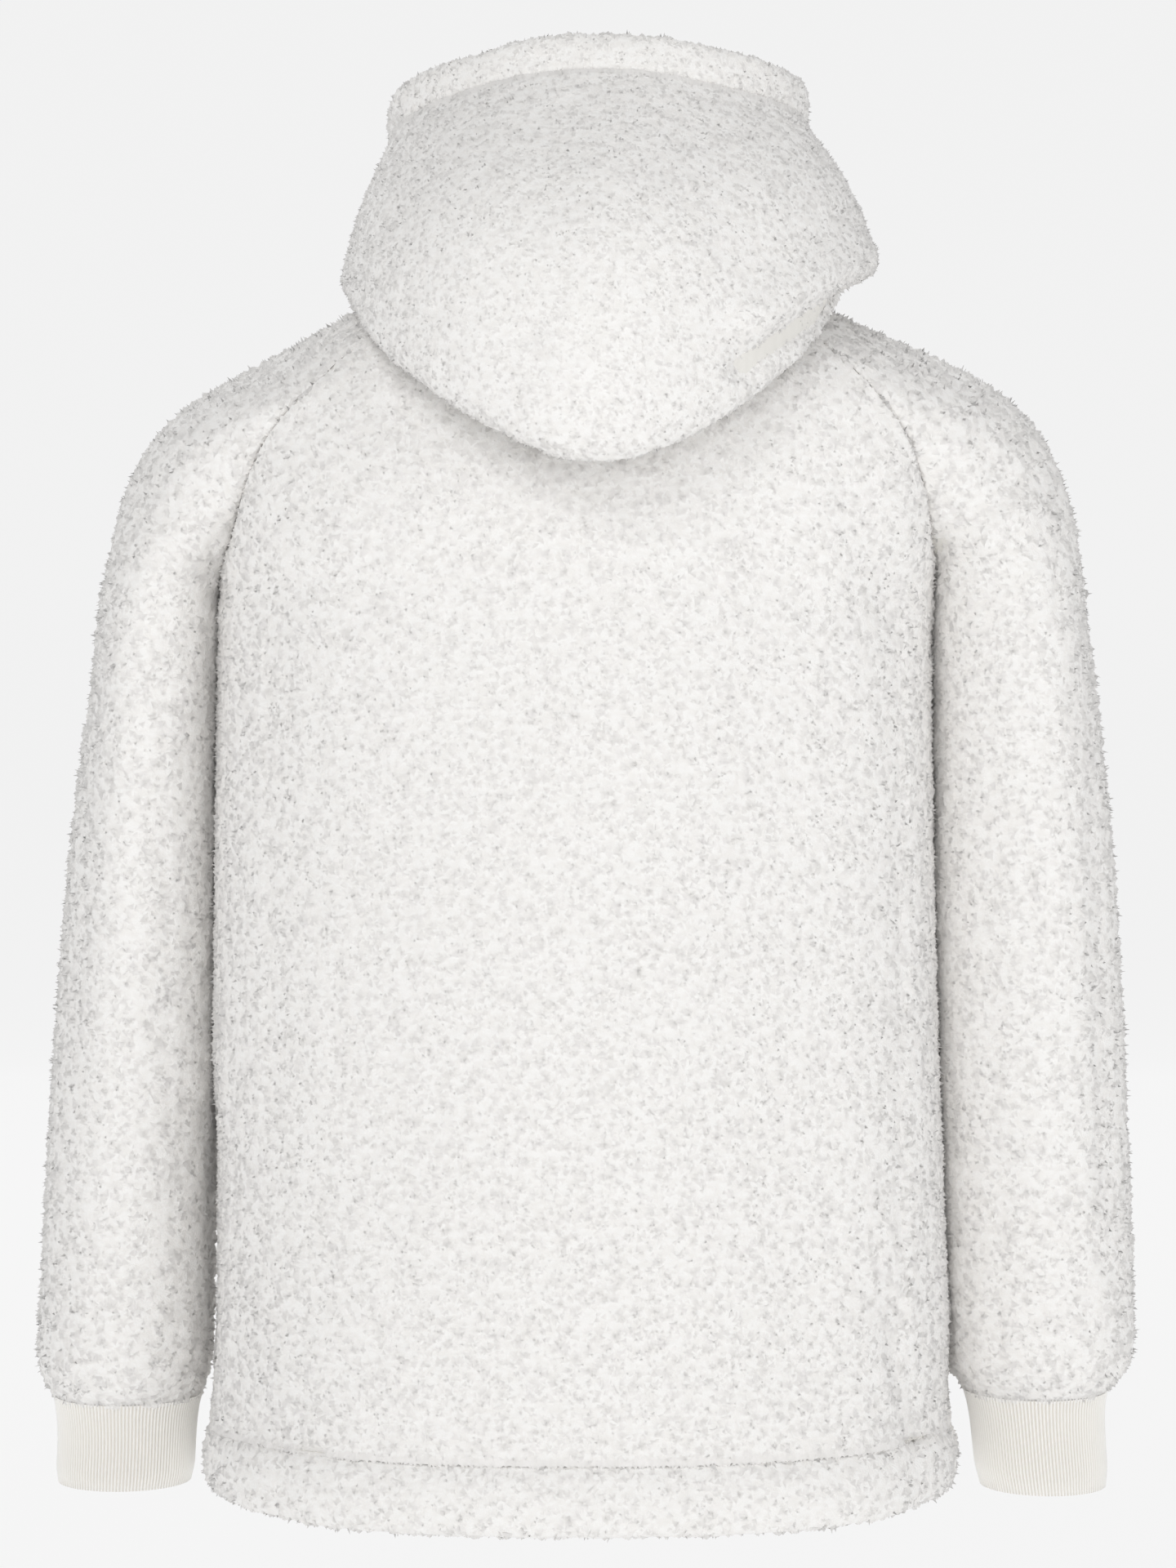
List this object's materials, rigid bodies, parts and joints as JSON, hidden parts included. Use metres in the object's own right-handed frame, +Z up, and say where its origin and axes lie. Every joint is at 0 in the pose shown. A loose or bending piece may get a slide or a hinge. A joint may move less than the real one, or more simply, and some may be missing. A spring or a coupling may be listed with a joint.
{
  "type": "half-zip hooded fleece pullover, worn shape with no wearer",
  "caption": "Half-zip hooded pile-fleece pullover in its worn hollow shape: raglan sleeves, hood down on the back, rib cuffs, cased hem and a swinging zip pull.",
  "frame": {"origin": "middle of the neck opening at the height of the neck seam, where a wearer holds the garment up", "axes": "+Z up, front faces -Y, back faces +Y, X across the shoulders"},
  "size_m": [0.6531, 0.3481, 0.8378],
  "materials": {
    "fleece": "deep off-white pile fleece",
    "rib_knit": "fine cream rib knit",
    "zip_tape": "woven tape",
    "zip_teeth": "moulded teeth",
    "zip_metal": "nickel plated"
  },
  "bodies": {
    "garment": {"back_panel": "fleece", "front_panel": "fleece", "sleeve_right": "fleece", "sleeve_left": "fleece", "hood": "fleece", "hood_edge_band": "fleece", "hem_casing": "fleece", "cuff_right": "rib_knit", "cuff_left": "rib_knit", "zip_tape_right": "zip_tape", "zip_tape_left": "zip_tape", "zip_chain": "zip_teeth", "zip_bottom_stop": "zip_metal", "zip_slider": "zip_metal"},
    "pull": {"zip_pull": "zip_metal"}
  },
  "joints": [
    {"name": "zip_pull_swing", "type": "hinge", "parent": "garment", "child": "pull", "pos_m": [0, -0.11202, 0.04482], "axis": [-1, 0, 0], "range_deg": [0, 140]}
  ]
}
